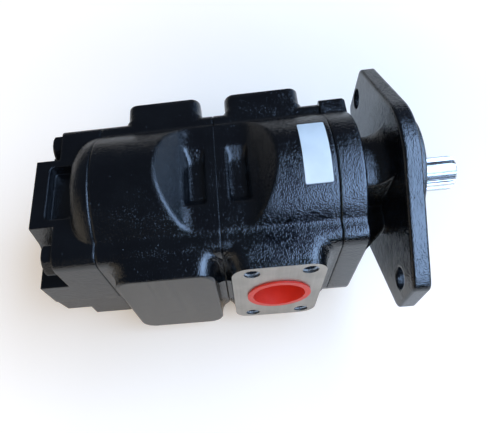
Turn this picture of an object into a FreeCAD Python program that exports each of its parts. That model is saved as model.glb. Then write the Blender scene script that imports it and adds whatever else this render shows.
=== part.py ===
import FreeCAD, Part
import math
import os

# A tandem hydraulic gear pump: two external gear pumps in line on one splined shaft, in
# cast-iron housings held together by four long bolts.
# Millimetres. X runs along the shaft towards its splined end, Z is up and the origin is the
# middle of the mounting face. The suction port faces -Y, the two outlet ports face +Y.

# Mounting flange with two bolt ears
flange_thickness = 10.5
flange_radius = 51.5
flange_edge_round = 1.6
ear_radius = 20.5
ear_end_near = 87.3
ear_end_far = 83.0
ear_corner_round = 5.0
mount_bolt_spacing = 146.05
mount_hole_radius = 7.15
pilot_radius = 41.275
pilot_height = 6.35
pilot_chamfer = 0.8

# Lengths along the shaft, from the flange to the back
neck_length = 17.8
front_cover_length = 16.4
front_housing_length = 72.7
rear_housing_length = 78.7
rear_cover_length = 28.2
rear_boss_height = 20.0

# Outer section of the housings: a drum standing out of a slab with rounded corners
half_width = 55.0
drum_excess = 1.0
drum_centre = -15.0
shoulder_height = 22.0
corner_radius = 8.0
front_low_corner_radius = 20.0
drum_foot_radius = 5.0
joint_groove_width = 0.4
joint_groove_depth = 0.5

# Gear sets
gear_centre_distance = 48.0
gear_teeth = 12
gear_pressure_angle = 28.0
gear_tip_radius = 28.0
gear_root_radius = 19.2
gear_form_radius = 21.5
gear_backlash = 0.24
front_gear_width = 27.5
rear_gear_width = 20.0
journal_radius = 12.0
end_play = 0.06
tip_clearance = 0.08
journal_clearance = 0.04

# Bearing blocks, thrust plates and bushes
front_block_length = 15.0
rear_block_length = 23.0
thrust_plate_thickness = 3.5
thrust_plate_bore_clearance = 0.5
block_fit = 0.05
bush_wall = 2.0
bush_fit = 0.02
relief_slot_width = 5.0
relief_slot_depth = 1.5

# Shaft
shaft_end = 38.5
shaft_spline_length = 31.0
shaft_chamfer = 1.8
spline_teeth = 13
spline_module = 1.5875
spline_pressure_angle = 30.0
coupling_teeth = 10
coupling_length = 20.0
coupling_radius = 13.0
coupling_float = 0.5
coupling_end_gap = 0.6
coupling_spline_gap = 0.12

# Shaft seal behind the pilot
seal_radius = 19.0
seal_width = 8.0
seal_recess = 5.5
seal_wall = 1.2
seal_lip_gap = 0.05
spring_wire_radius = 0.7
ring_thickness = 1.75
ring_groove_depth = 1.0
ring_inner_width = 3.2
ring_gap_angle = 50.0
shaft_bore_clearance = 1.5

# Tie bolts and dowels
tie_bolt_radius = 6.0
tie_bolt_inset = 11.0
tie_bolt_z = 10.0
low_tie_bolt_drop = 12.0
tie_bolt_land = 2.0
tie_hole_clearance = 0.3
tie_thread_length = 13.0
bolt_head_across_flats = 19.0
bolt_head_height = 7.5
bolt_head_chamfer = 1.2
thread_fit = 0.04
dowel_radius = 4.0
dowel_length = 12.0
dowel_inset = 8.0
dowel_z = 4.0
dowel_fit = 0.02
dowel_end_gap = 0.4

# Seals in the faces of the joints
body_seal_radius = 32.2
body_seal_width = 2.6
seal_groove_depth = 2.2
seal_side_gap = 0.05
block_seal_radius = 24.8
block_seal_width = 2.4
shaft_joint_seal_radius = 17.5
duct_seal_radius = 14.2

# Suction port on the near side, flange pattern of an 1 1/2 inch split flange
suction_pad_height = 12.0
suction_x = -82.7
suction_pad_offset = -1.2
suction_pad_width = 58.5
suction_pad_low = -67.0
suction_pad_high = 19.0
suction_port_radius = 19.05
suction_port_depth = 22.0
suction_bolt_x = 35.7
suction_bolt_z = 69.85
suction_bolt_hole_radius = 5.1
suction_bolt_depth = 14.5
near_pad_corner = 11.0

# Blank pad of the rear pump on the near side
blank_pad_height = 13.0
blank_x = -154.8
blank_pad_width = 63.0
blank_pad_low = -71.0
blank_pad_high = 17.2
blank_pad_edge = 1.2

# Outlet ports on the far side, flange pattern of a 1 inch split flange
outlet_pad_height = 13.0
front_outlet_x = -82.7
rear_outlet_x = -151.8
outlet_pad_width = 52.0
outlet_pad_low = -68.0
outlet_pad_high = 22.0
outlet_pad_corner = 7.0
outlet_port_radius = 12.7
outlet_bolt_x = 26.2
outlet_bolt_z = 52.4
outlet_bolt_hole_radius = 4.25
outlet_bolt_depth = 14.0

# Blend of each pad into the side: distance out from the side, spread along X, spread along Z
near_pad_blend = [(-16.0, 7.0, 3.6), (0.0, 7.0, 2.2), (2.0, 3.0, 1.7), (5.0, 0.9, 1.0), (9.0, 0.0, 0.0)]
outlet_pad_blend = [(-16.0, 1.6, 0.0), (0.0, 1.6, 0.0), (0.8, 0.6, 0.0), (2.2, 0.0, 0.0)]

# Cored oil passages
passage_half_height = 13.0
passage_corner = 6.0
duct_radius = 12.0
duct_inset = 19.0

# Recesses in the drum either side of the middle joint
scoop_length = 38.0
scoop_floor = 23.5
scoop_foot_radius = 12.0
pocket_start = 8.0
pocket_end = 18.5
pocket_half_width = 15.0
pocket_floor = 18.0
pocket_end_slope = 7.0
pocket_side_slope = 2.2
pocket_joint_slope = 0.7
pocket_corner = 2.0
joint_boss_half_width = 5.5
joint_boss_height = 5.0
joint_boss_top = -11.0
joint_boss_low = -44.0

# Front cover neck, gussets and corner boss
neck_radius = 29.0
neck_half_width = 19.0
neck_blend_radius = 10.0
gusset_top = -2.0
gusset_low = -17.0
gusset_inset = 3.5
gusset_tip_reach = 33.0
gusset_edge_round = 4.0
cover_edge_round = 1.8
corner_boss_length = 18.4
corner_boss_width = 14.0
corner_boss_top = 22.6
corner_boss_round = 3.0

# Rear cover
drum_end_round = 17.0
arm_half_width = 26.5
wing_top = -9.0
wing_bottom = -53.0
boss_end_lean = 3.8
bolt_pocket_round = 12.0
socket_clearance = 3.0
arm_pocket_half_width = 21.0
arm_pocket_depth = 8.0
arm_pocket_land = 10.0
arm_pocket_length = 17.2
arm_pocket_corner = 3.0
side_step_depth = 1.2
side_step_top = -35.0

# Protective plugs pressed into the ports
plug_fit = 0.08
plug_wall = 1.5
plug_seat_gap = 0.05
suction_plug_depth = 15.0
outlet_plug_depth = 12.0
plug_rim_width = 2.2
plug_rim_thickness = 1.3

# Stations along X that follow from the lengths
x_flange_back = -flange_thickness
x_cover_face = x_flange_back - neck_length
x_front_joint = x_cover_face - front_cover_length
x_mid_joint = x_front_joint - front_housing_length
x_rear_joint = x_mid_joint - rear_housing_length
x_bolt_seat = x_rear_joint - rear_cover_length
x_boss_end = x_bolt_seat - rear_boss_height
x_front_block = x_front_joint - front_block_length
x_front_plate = x_front_block - front_gear_width - 2 * end_play
x_front_web = x_front_plate - thrust_plate_thickness
x_rear_block = x_rear_joint + rear_block_length
x_rear_plate = x_rear_block + rear_gear_width + 2 * end_play
x_rear_web = x_rear_plate + thrust_plate_thickness

# Values in the section that follow from the sizes above
mid_z = -gear_centre_distance / 2
drum_radius = half_width + drum_excess
drum_top = drum_centre + drum_radius
suction_face = half_width + suction_pad_height
blank_face = half_width + blank_pad_height
outlet_face = half_width + outlet_pad_height
duct_y = duct_inset - half_width
front_web_bush_length = x_front_web - x_mid_joint - coupling_length / 2 - coupling_end_gap
rear_web_bush_length = x_mid_joint - x_rear_web - coupling_length / 2 - coupling_end_gap
cavity_radius = gear_tip_radius + tip_clearance
bush_radius = journal_radius + journal_clearance + bush_wall
bush_bore_radius = bush_radius + bush_fit
tie_hole_radius = tie_bolt_radius + tie_hole_clearance
tie_bolt_y = half_width - tie_bolt_inset
low_tie_bolt_reach = body_seal_radius + body_seal_width / 2 + tie_bolt_land + tie_hole_radius
low_tie_bolt_y = math.sqrt(low_tie_bolt_reach ** 2 - low_tie_bolt_drop ** 2)
low_tie_bolt_z = -gear_centre_distance - low_tie_bolt_drop
tie_bolt_places = [(-tie_bolt_y, tie_bolt_z), (tie_bolt_y, tie_bolt_z),
                   (-low_tie_bolt_y, low_tie_bolt_z), (low_tie_bolt_y, low_tie_bolt_z)]
bolt_head_radius = bolt_head_across_flats / math.sqrt(3)
dowel_y = half_width - dowel_inset
dowel_places = [(s * dowel_y, mid_z + s * (gear_centre_distance / 2 - dowel_z)) for s in (-1, 1)]
far = 4 * half_width


def vec(x, y, z):
    return FreeCAD.Vector(x, y, z)


def line(a, b):
    return Part.makeLine(a, b)


def arc(a, b, c):
    return Part.Arc(a, b, c).toShape()


def face(edges):
    return Part.Face(Part.Wire(edges))


def x_rod(x0, x1, radius, y=0.0, z=0.0):
    return Part.makeCylinder(radius, x1 - x0, vec(x0, y, z), vec(1, 0, 0))


def y_rod(y0, y1, radius, x, z):
    return Part.makeCylinder(radius, y1 - y0, vec(x, y0, z), vec(0, 1, 0))


def block(x0, x1, y0, y1, z0, z1):
    return Part.makeBox(x1 - x0, y1 - y0, z1 - z0, vec(x0, y0, z0))


def fuse(shapes):
    return shapes[0].multiFuse(shapes[1:]).removeSplitter()


def other_half(shape):
    """The same form on the other side of the plane midway between the two gear shafts."""
    return shape.mirror(vec(0, 0, mid_z), vec(0, 0, 1))


def both_halves(shape):
    return [shape, other_half(shape)]


def turned_profile(points):
    """Solid of revolution about the X axis through a list of (x, radius) points."""
    corners = [vec(x, 0, radius) for x, radius in points]
    wire = Part.makePolygon(corners + [corners[0]])
    return Part.Face(wire).revolve(vec(0, 0, 0), vec(1, 0, 0), 360)


def twin_rods(x0, x1, radius):
    """Two overlapping cylinders, one on each gear shaft."""
    return fuse([x_rod(x0, x1, radius), x_rod(x0, x1, radius, z=-gear_centre_distance)])


def stadium(x0, x1, radius):
    """Slab with round ends that encloses both gear shafts."""
    middle = block(x0, x1, -radius, radius, -gear_centre_distance, 0)
    return fuse([middle, x_rod(x0, x1, radius), x_rod(x0, x1, radius, z=-gear_centre_distance)])


def on_shafts(x0, x1, radius):
    """Two separate cylinders, one on each gear shaft."""
    return [x_rod(x0, x1, radius), x_rod(x0, x1, radius, z=-gear_centre_distance)]


def square_corner(side, shoulder, radius, foot):
    """Right side of half an outline: small corner, flat shoulder and concave foot of the drum."""
    cut = corner_radius * (1 - 1 / math.sqrt(2))
    rise = shoulder + foot - drum_centre
    foot_y = math.sqrt((radius + foot) ** 2 - rise ** 2)
    share = radius / (radius + foot)
    half_turn = math.atan2(foot_y, rise) / 2
    return [
        (side, shoulder - corner_radius),
        (side - cut, shoulder - cut),
        (side - corner_radius, shoulder),
        (foot_y, shoulder),
        (foot_y - foot * math.sin(half_turn), shoulder + foot - foot * math.cos(half_turn)),
        (foot_y * share, drum_centre + rise * share),
    ]


def wide_corner(side, shoulder, radius, foot):
    """Right side of half an outline: large corner that runs through a concave foot into the drum."""
    corner = front_low_corner_radius
    middle_y = side - corner
    middle_z = shoulder - corner
    rise = middle_z - drum_centre
    distance = math.hypot(middle_y, rise)
    spread = math.acos(((radius + foot) ** 2 + distance ** 2 - (corner + foot) ** 2)
                       / (2 * (radius + foot) * distance))
    drum_angle = math.atan2(rise, middle_y) + spread
    foot_y = (radius + foot) * math.cos(drum_angle)
    foot_z = drum_centre + (radius + foot) * math.sin(drum_angle)
    corner_angle = math.atan2(foot_z - middle_z, foot_y - middle_y)
    foot_angle = (drum_angle + corner_angle) / 2
    meet = (middle_y + corner * math.cos(corner_angle), middle_z + corner * math.sin(corner_angle))
    return [
        (side, middle_z),
        (middle_y + corner * math.cos(corner_angle / 2), middle_z + corner * math.sin(corner_angle / 2)),
        meet,
        meet,
        (foot_y - foot * math.cos(foot_angle), foot_z - foot * math.sin(foot_angle)),
        (radius * math.cos(drum_angle), drum_centre + radius * math.sin(drum_angle)),
    ]


def section(x, low_corner, inset=0.0):
    """Outer outline of the housings at X, drawn smaller by the inset.

    The lower half mirrors the upper one, but for its corners, which the low corner draws.
    """
    halves = []
    for corner in (square_corner, low_corner):
        right = corner(half_width - inset, shoulder_height - inset, drum_radius - inset,
                       drum_foot_radius + inset)
        left = [(-y, z) for y, z in reversed(right)]
        halves.append([vec(x, y, z) for y, z in right + [(0, drum_top - inset)] + left])
    upper = halves[0]
    lower = [vec(x, p.y, 2 * mid_z - p.z) for p in reversed(halves[1])]
    edges = []
    for points, following in ((upper, lower[0]), (lower, upper[0])):
        edges.append(arc(points[0], points[1], points[2]))
        if points[2] != points[3]:
            edges.append(line(points[2], points[3]))
        edges.append(arc(points[3], points[4], points[5]))
        edges.append(arc(points[5], points[6], points[7]))
        edges.append(arc(points[7], points[8], points[9]))
        if points[9] != points[10]:
            edges.append(line(points[9], points[10]))
        edges.append(arc(points[10], points[11], points[12]))
        edges.append(line(points[12], following))
    return face(edges)


def slice_of_section(x0, x1, low_corner, inset=0.0):
    return section(x0, low_corner, inset).extrude(vec(x1 - x0, 0, 0))


def cast_body(x0, x1, low_corner, groove_low, groove_high):
    """Housing blank; the outline steps in a little at a joint face to leave the joint's groove."""
    low = x0 + joint_groove_width if groove_low else x0
    high = x1 - joint_groove_width if groove_high else x1
    pieces = [slice_of_section(low, high, low_corner)]
    if groove_low:
        pieces.append(slice_of_section(x0, low, low_corner, joint_groove_depth))
    if groove_high:
        pieces.append(slice_of_section(high, x1, low_corner, joint_groove_depth))
    return fuse(pieces)


def rounded_wire(y, x_low, x_high, z_low, z_high, radius):
    """Rectangle with rounded corners in a plane across Y."""
    cut = radius * (1 - 1 / math.sqrt(2))
    corners = [
        ((x_high - radius, z_low), (x_high - cut, z_low + cut), (x_high, z_low + radius)),
        ((x_high, z_high - radius), (x_high - cut, z_high - cut), (x_high - radius, z_high)),
        ((x_low + radius, z_high), (x_low + cut, z_high - cut), (x_low, z_high - radius)),
        ((x_low, z_low + radius), (x_low + cut, z_low + cut), (x_low + radius, z_low)),
    ]
    edges = []
    for k in range(4):
        start, middle, end = [vec(x, y, z) for x, z in corners[k]]
        following = corners[(k + 1) % 4][0]
        edges.append(arc(start, middle, end))
        edges.append(line(end, vec(following[0], y, following[1])))
    return Part.Wire(edges)


def rounded_bar(y0, y1, x_low, x_high, z_low, z_high, radius):
    wire = rounded_wire(y0, x_low, x_high, z_low, z_high, radius)
    return Part.Face(wire).extrude(vec(0, y1 - y0, 0))


def port_pad(side, face_y, x_middle, width, z_low, z_high, corner, blend, limits, edge=0.0):
    """Raised pad on one side of a housing, with a concave blend at its foot.

    The limits are the joint faces between which the pad has to stay.
    """
    x_low = x_middle - width / 2
    x_high = x_middle + width / 2
    wires = []
    for out, grow_x, grow_z in blend:
        y = side * (half_width + out)
        wires.append(rounded_wire(y, x_low - grow_x, x_high + grow_x, z_low - grow_z / 2,
                                  z_high + grow_z, corner + grow_x / 2))
    wires.append(rounded_wire(side * (face_y - edge), x_low, x_high, z_low, z_high, corner))
    if edge > 0:
        wires.append(rounded_wire(side * face_y, x_low + edge, x_high - edge, z_low + edge,
                                  z_high - edge, corner - edge))
    room = block(limits[0] + joint_groove_width, limits[1] - joint_groove_width, -far, far, -far, far)
    return Part.makeLoft(wires, True, True).common(room)


def pad_bolt_holes(side, face_y, x_middle, spacing_x, spacing_z, radius, depth):
    holes = []
    for sx in (-1, 1):
        for sz in (-1, 1):
            x = x_middle + sx * spacing_x / 2
            z = mid_z + sz * spacing_z / 2
            y0 = face_y - depth if side > 0 else -face_y - 1
            holes.append(y_rod(y0, y0 + depth + 1, radius, x, z))
    return holes


def tie_holes(x0, x1, radius):
    return [x_rod(x0, x1, radius, y, z) for y, z in tie_bolt_places]


def dowel_holes(x_joint):
    half = dowel_length / 2 + dowel_end_gap
    return [x_rod(x_joint - half, x_joint + half, dowel_radius + dowel_fit, y, z) for y, z in dowel_places]


def scoop(direction):
    """Slope cut across the drum beside the middle joint; direction is +1 in front of the joint."""
    toe = scoop_length - (drum_top - scoop_floor)
    tangent = scoop_foot_radius * math.tan(math.pi / 8)
    foot_end = toe + tangent / math.sqrt(2)
    foot_rise = scoop_floor + tangent / math.sqrt(2)
    middle_out = toe - tangent + scoop_foot_radius * math.sin(math.pi / 8)
    middle_rise = scoop_floor + scoop_foot_radius * (1 - math.cos(math.pi / 8))
    over = joint_boss_half_width

    def at(out, z):
        return vec(x_mid_joint + direction * out, -far / 2, z)

    edges = [
        line(at(-over, scoop_floor), at(toe - tangent, scoop_floor)),
        arc(at(toe - tangent, scoop_floor), at(middle_out, middle_rise), at(foot_end, foot_rise)),
        line(at(foot_end, foot_rise), at(scoop_length + over, drum_top + over)),
        line(at(scoop_length + over, drum_top + over), at(-over, drum_top + over)),
        line(at(-over, drum_top + over), at(-over, scoop_floor)),
    ]
    slope = face(edges).extrude(vec(0, far, 0))
    return both_halves(slope) + both_halves(scoop_pocket(direction))


def scoop_pocket(direction):
    """Pocket with sloping walls in the floor of a scoop."""
    wires = []
    for share in (0, 2):
        z = pocket_floor + share * (scoop_floor - pocket_floor)
        start = pocket_start - share * pocket_joint_slope
        end = pocket_end + share * pocket_side_slope
        half = pocket_half_width + share * pocket_end_slope
        corners = [vec(x_mid_joint + direction * out, y, z)
                   for out, y in ((start, -half), (end, -half), (end, half), (start, half))]
        wires.append(Part.makePolygon(corners + [corners[0]]))
    pocket = Part.makeLoft(wires, True, True)
    upright = [e for e in pocket.Edges if e.BoundBox.ZLength > (scoop_floor - pocket_floor)]
    return pocket.makeFillet(pocket_corner, upright)


def joint_boss(x_low, x_high):
    """Arch-topped boss on the near side that straddles the middle joint, cut to one housing."""
    arch = joint_boss_top - joint_boss_half_width
    body = block(x_mid_joint - joint_boss_half_width, x_mid_joint + joint_boss_half_width,
                 -half_width - joint_boss_height, -half_width + corner_radius, joint_boss_low, arch)
    top = y_rod(-half_width - joint_boss_height, -half_width + corner_radius, joint_boss_half_width,
                x_mid_joint, arch)
    return fuse([body, top]).common(block(x_low, x_high, -far, far, -far, far))


def side_step(x0, x1):
    """Shallow step along the near side, below the middle."""
    return block(x0, x1, -far, -half_width + side_step_depth, -far, side_step_top)


def make_front_cover():
    ear = mount_bolt_spacing / 2
    lean = math.acos((flange_radius - ear_radius) / ear)

    def at(y, z):
        return vec(x_flange_back, y, z)

    big = (flange_radius * math.cos(lean), flange_radius * math.sin(lean))
    small = (ear + ear_radius * math.cos(lean), ear_radius * math.sin(lean))
    edges = [
        arc(at(big[0], big[1]), at(0, flange_radius), at(-big[0], big[1])),
        line(at(-big[0], big[1]), at(-small[0], small[1])),
        arc(at(-small[0], small[1]), at(-ear - ear_radius, 0), at(-small[0], -small[1])),
        line(at(-small[0], -small[1]), at(-big[0], -big[1])),
        arc(at(-big[0], -big[1]), at(0, -flange_radius), at(big[0], -big[1])),
        line(at(big[0], -big[1]), at(small[0], -small[1])),
        arc(at(small[0], -small[1]), at(ear + ear_radius, 0), at(small[0], small[1])),
        line(at(small[0], small[1]), at(big[0], big[1])),
    ]
    plate = face(edges).extrude(vec(flange_thickness, 0, 0))
    plate = plate.common(block(x_flange_back, 0, -ear_end_near, ear_end_far, -far, far))
    ends = [e for e in plate.Edges if e.BoundBox.YLength < 0.01 and e.BoundBox.ZLength < 0.01
            and (e.BoundBox.YMin < 0.01 - ear_end_near or e.BoundBox.YMax > ear_end_far - 0.01)]
    plate = plate.makeFillet(ear_corner_round, ends)
    rims = [e for e in plate.Edges if e.BoundBox.XLength < 0.01]
    plate = plate.makeFillet(flange_edge_round, rims)
    pilot = turned_profile([
        (-flange_thickness / 2, 0),
        (-flange_thickness / 2, pilot_radius),
        (pilot_height - pilot_chamfer, pilot_radius),
        (pilot_height, pilot_radius - pilot_chamfer),
        (pilot_height, 0),
    ])
    blend_end = x_flange_back - neck_blend_radius
    blend_middle = neck_blend_radius * (1 - 1 / math.sqrt(2))
    neck_edges = [
        line(vec(x_cover_face - 1, 0, 0), vec(x_cover_face - 1, 0, neck_radius)),
        line(vec(x_cover_face - 1, 0, neck_radius), vec(blend_end, 0, neck_radius)),
        arc(vec(blend_end, 0, neck_radius),
            vec(x_flange_back - blend_middle, 0, neck_radius + blend_middle),
            vec(x_flange_back, 0, neck_radius + neck_blend_radius)),
        line(vec(x_flange_back, 0, neck_radius + neck_blend_radius),
             vec(x_flange_back + 1, 0, neck_radius + neck_blend_radius)),
        line(vec(x_flange_back + 1, 0, neck_radius + neck_blend_radius), vec(x_flange_back + 1, 0, 0)),
        line(vec(x_flange_back + 1, 0, 0), vec(x_cover_face - 1, 0, 0)),
    ]
    neck = face(neck_edges).revolve(vec(0, 0, 0), vec(1, 0, 0), 360)
    neck = neck.common(block(x_cover_face - 1, x_flange_back + 1, -neck_half_width, neck_half_width,
                             -far, far))
    gussets = []
    for side in (-1, 1):
        corners = [
            vec(x_cover_face - 1, side * neck_half_width / 2, gusset_low),
            vec(x_cover_face - 1, side * (half_width - gusset_inset), gusset_low),
            vec(x_flange_back + 1, side * gusset_tip_reach, gusset_low),
            vec(x_flange_back + 1, side * neck_half_width / 2, gusset_low),
        ]
        outline = Part.Face(Part.makePolygon(corners + [corners[0]]))
        gusset = outline.extrude(vec(0, 0, gusset_top - gusset_low))
        outer = [e for e in gusset.Edges if e.BoundBox.XLength > neck_length and e.BoundBox.YLength > 1]
        gussets.append(gusset.makeFillet(gusset_edge_round, outer))
    body = slice_of_section(x_front_joint + joint_groove_width, x_cover_face, wide_corner)
    front_rim = [e for e in body.Edges if e.BoundBox.XMin > x_cover_face - 0.01]
    body = body.makeFillet(cover_edge_round, front_rim)
    lip = slice_of_section(x_front_joint, x_front_joint + joint_groove_width, wide_corner,
                           joint_groove_depth)
    boss = block(x_front_joint + joint_groove_width, x_front_joint + corner_boss_length,
                 half_width - corner_boss_width, half_width, shoulder_height - 2 * corner_radius,
                 corner_boss_top)
    boss_edges = [e for e in boss.Edges if e.BoundBox.XMax > x_front_joint + joint_groove_width + 0.01
                  and e.BoundBox.YMax > half_width - 0.01
                  and (e.BoundBox.ZMin > corner_boss_top - 0.01 or e.BoundBox.ZLength > corner_radius)]
    boss = boss.makeFillet(corner_boss_round, boss_edges)
    cover = fuse([plate, pilot, neck, body, lip, boss] + gussets)
    x_seal_back = pilot_height - seal_recess - seal_width
    cuts = [
        x_rod(x_front_joint - 1, pilot_height + 1, journal_radius + shaft_bore_clearance),
        x_rod(x_seal_back - ring_thickness - end_play, pilot_height + 1, seal_radius),
    ]
    ring_front = pilot_height - seal_recess
    groove_low = ring_front - ring_thickness - end_play
    cuts.append(x_rod(groove_low, ring_front, seal_radius + ring_groove_depth))
    for side in (-1, 1):
        cuts.append(x_rod(x_flange_back - neck_length, 1, mount_hole_radius, side * ear))
    cuts += tie_holes(x_front_joint - 1, x_front_joint + tie_thread_length + 1, tie_bolt_radius + thread_fit)
    cuts += dowel_holes(x_front_joint)
    return cover.cut(cuts)


def make_front_housing():
    body = cast_body(x_mid_joint, x_front_joint, wide_corner, True, True)
    limits = (x_mid_joint, x_front_joint)
    pads = [
        port_pad(-1, suction_face, suction_x + suction_pad_offset, suction_pad_width, suction_pad_low,
                 suction_pad_high, near_pad_corner, near_pad_blend, limits),
        port_pad(1, outlet_face, front_outlet_x, outlet_pad_width, outlet_pad_low, outlet_pad_high,
                 outlet_pad_corner, outlet_pad_blend, limits),
    ]
    boss = joint_boss(x_mid_joint + joint_groove_width, x_front_joint)
    housing = fuse([body.cut(scoop(1))] + pads + [boss])
    passage_low = suction_x - suction_port_radius + passage_corner
    cuts = [
        twin_rods(x_front_web, x_front_joint + 1, cavity_radius),
        y_rod(-suction_face - 1, -suction_face + suction_port_depth, suction_port_radius, suction_x, mid_z),
        rounded_bar(-suction_face + suction_port_depth - 1, -cavity_radius / 2, passage_low, x_front_block,
                    mid_z - passage_half_height, mid_z + passage_half_height, passage_corner),
        y_rod(cavity_radius / 2, outlet_face + 1, outlet_port_radius, front_outlet_x, mid_z),
        x_rod(x_mid_joint - 1, suction_x, duct_radius, duct_y, mid_z),
        x_rod(x_mid_joint - 1, x_front_web + 1, bush_bore_radius),
        x_rod(x_front_web - front_web_bush_length - end_play, x_front_web + 1, bush_bore_radius,
              z=-gear_centre_distance),
    ]
    cuts += pad_bolt_holes(-1, suction_face, suction_x, suction_bolt_x, suction_bolt_z,
                           suction_bolt_hole_radius, suction_bolt_depth)
    cuts += pad_bolt_holes(1, outlet_face, front_outlet_x, outlet_bolt_x, outlet_bolt_z,
                           outlet_bolt_hole_radius, outlet_bolt_depth)
    cuts += tie_holes(x_mid_joint - 1, x_front_joint + 1, tie_hole_radius)
    cuts += dowel_holes(x_front_joint)
    cuts += dowel_holes(x_mid_joint)
    cuts.append(body_seal_ring(x_front_joint - seal_groove_depth, x_front_joint + 1, 0))
    cuts += mid_seal_rings(x_mid_joint - 1, x_mid_joint + seal_groove_depth, 0)
    return housing.cut(cuts)


def make_rear_housing():
    body = cast_body(x_rear_joint, x_mid_joint, square_corner, True, True)
    limits = (x_rear_joint, x_mid_joint)
    pads = [
        port_pad(-1, blank_face, blank_x, blank_pad_width, blank_pad_low, blank_pad_high, near_pad_corner,
                 near_pad_blend, limits, blank_pad_edge),
        port_pad(1, outlet_face, rear_outlet_x, outlet_pad_width, outlet_pad_low, outlet_pad_high,
                 outlet_pad_corner, outlet_pad_blend, limits),
    ]
    boss = joint_boss(x_rear_joint, x_mid_joint - joint_groove_width)
    body = body.cut(scoop(-1) + [side_step(x_rear_joint - 1, blank_x)])
    housing = fuse([body] + pads + [boss])
    cuts = [
        twin_rods(x_rear_joint - 1, x_rear_web, cavity_radius),
        rounded_bar(duct_y - duct_radius, -cavity_radius / 2, x_rear_block, x_rear_plate,
                    mid_z - passage_half_height, mid_z + passage_half_height, passage_corner),
        y_rod(cavity_radius / 2, outlet_face + 1, outlet_port_radius, rear_outlet_x, mid_z),
        x_rod(x_rear_block + passage_corner, x_mid_joint + 1, duct_radius, duct_y, mid_z),
        x_rod(x_rear_web - 1, x_mid_joint + 1, bush_bore_radius),
        x_rod(x_rear_web - 1, x_rear_web + rear_web_bush_length + end_play, bush_bore_radius,
              z=-gear_centre_distance),
    ]
    cuts += pad_bolt_holes(1, outlet_face, rear_outlet_x, outlet_bolt_x, outlet_bolt_z,
                           outlet_bolt_hole_radius, outlet_bolt_depth)
    cuts += tie_holes(x_rear_joint - 1, x_mid_joint + 1, tie_hole_radius)
    cuts += dowel_holes(x_mid_joint)
    cuts += dowel_holes(x_rear_joint)
    cuts.append(body_seal_ring(x_rear_joint - 1, x_rear_joint + seal_groove_depth, 0))
    return housing.cut(cuts)


def drum_end_cutter():
    """Takes the drum down to the shoulders behind an end that is rounded all the way round."""
    x_start = x_rear_joint - joint_groove_width
    x_end = x_start - drum_end_round
    edge = drum_end_round * (1 - 1 / math.sqrt(2))

    def at(x, radius):
        return vec(x, 0, drum_centre + radius)

    low = drum_radius - drum_end_round
    edges = [
        arc(at(x_start, drum_radius), at(x_end + edge, drum_radius - edge), at(x_end, low)),
        line(at(x_end, low), at(x_end, 0)),
        line(at(x_end, 0), at(x_start, 0)),
        line(at(x_start, 0), at(x_start, drum_radius)),
    ]
    dome = face(edges).revolve(vec(0, 0, drum_centre), vec(1, 0, 0), 360)
    above = block(x_boss_end - 1, x_start, -far, far, shoulder_height, far)
    return above.cut(dome)


def bolt_pocket(side):
    """Open corner of the rear boss in which an upper bolt head sits, above the wing."""
    def at(y, z):
        return vec(x_boss_end - 1, side * y, z)

    near = arm_half_width
    turn = bolt_pocket_round * (1 - 1 / math.sqrt(2))
    edges = [
        line(at(near, far), at(near, wing_top + bolt_pocket_round)),
        arc(at(near, wing_top + bolt_pocket_round), at(near + turn, wing_top + turn),
            at(near + bolt_pocket_round, wing_top)),
        line(at(near + bolt_pocket_round, wing_top), at(far, wing_top)),
        line(at(far, wing_top), at(far, far)),
        line(at(far, far), at(near, far)),
    ]
    return face(edges).extrude(vec(x_bolt_seat - x_boss_end + 1, 0, 0))


def low_bolt_pocket(side):
    """Room for a lower bolt head and its socket, below the wing and open at the bottom."""
    room = bolt_head_radius + socket_clearance
    length = x_bolt_seat - x_boss_end + 1
    start = vec(x_boss_end - 1, side * low_tie_bolt_y, low_tie_bolt_z)
    round_part = Part.makeCylinder(room, length, start, vec(1, 0, 0))
    ends = sorted([side * (low_tie_bolt_y - room), side * far])
    under = block(x_boss_end - 1, x_bolt_seat, ends[0], ends[1], -far, low_tie_bolt_z)
    ends = sorted([side * low_tie_bolt_y, side * far])
    outside = block(x_boss_end - 1, x_bolt_seat, ends[0], ends[1], -far, wing_bottom)
    return [round_part, under, outside]


def leaning_end():
    """Takes the end of the boss back towards the top of its arms."""
    corners = [(x_boss_end - 1, far), (x_boss_end - 1, wing_top), (x_boss_end, wing_top),
               (x_boss_end + boss_end_lean, shoulder_height), (x_boss_end + boss_end_lean, far)]
    points = [vec(x, -far, z) for x, z in corners]
    return Part.Face(Part.makePolygon(points + [points[0]])).extrude(vec(0, 2 * far, 0))


def arm_pocket():
    """Pocket with round corners in the top of an arm, beside the drum."""
    x_low = x_boss_end + boss_end_lean + arm_pocket_land
    hollow = block(x_low, x_low + arm_pocket_length, -arm_pocket_half_width, arm_pocket_half_width,
                   shoulder_height - arm_pocket_depth, drum_top)
    upright = [e for e in hollow.Edges if e.BoundBox.ZLength > arm_pocket_depth]
    return hollow.makeFillet(arm_pocket_corner, upright)


def make_rear_cover():
    body = cast_body(x_boss_end, x_rear_joint, square_corner, False, True)
    cuts = both_halves(drum_end_cutter()) + both_halves(leaning_end()) + both_halves(arm_pocket())
    for side in (-1, 1):
        cuts.append(bolt_pocket(side))
        cuts += low_bolt_pocket(side)
    cuts.append(side_step(x_boss_end - 1, x_rear_joint + 1))
    cuts += tie_holes(x_bolt_seat - 1, x_rear_joint + 1, tie_hole_radius)
    cuts += dowel_holes(x_rear_joint)
    return body.cut(cuts)


def body_seal_ring(x0, x1, gap):
    """Ring round both shafts, in a joint face; the gap is left to each wall of its groove."""
    outer = stadium(x0, x1, body_seal_radius + body_seal_width / 2 - gap)
    inner = stadium(x0 - 1, x1 + 1, body_seal_radius - body_seal_width / 2 + gap)
    return outer.cut(inner)


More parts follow.
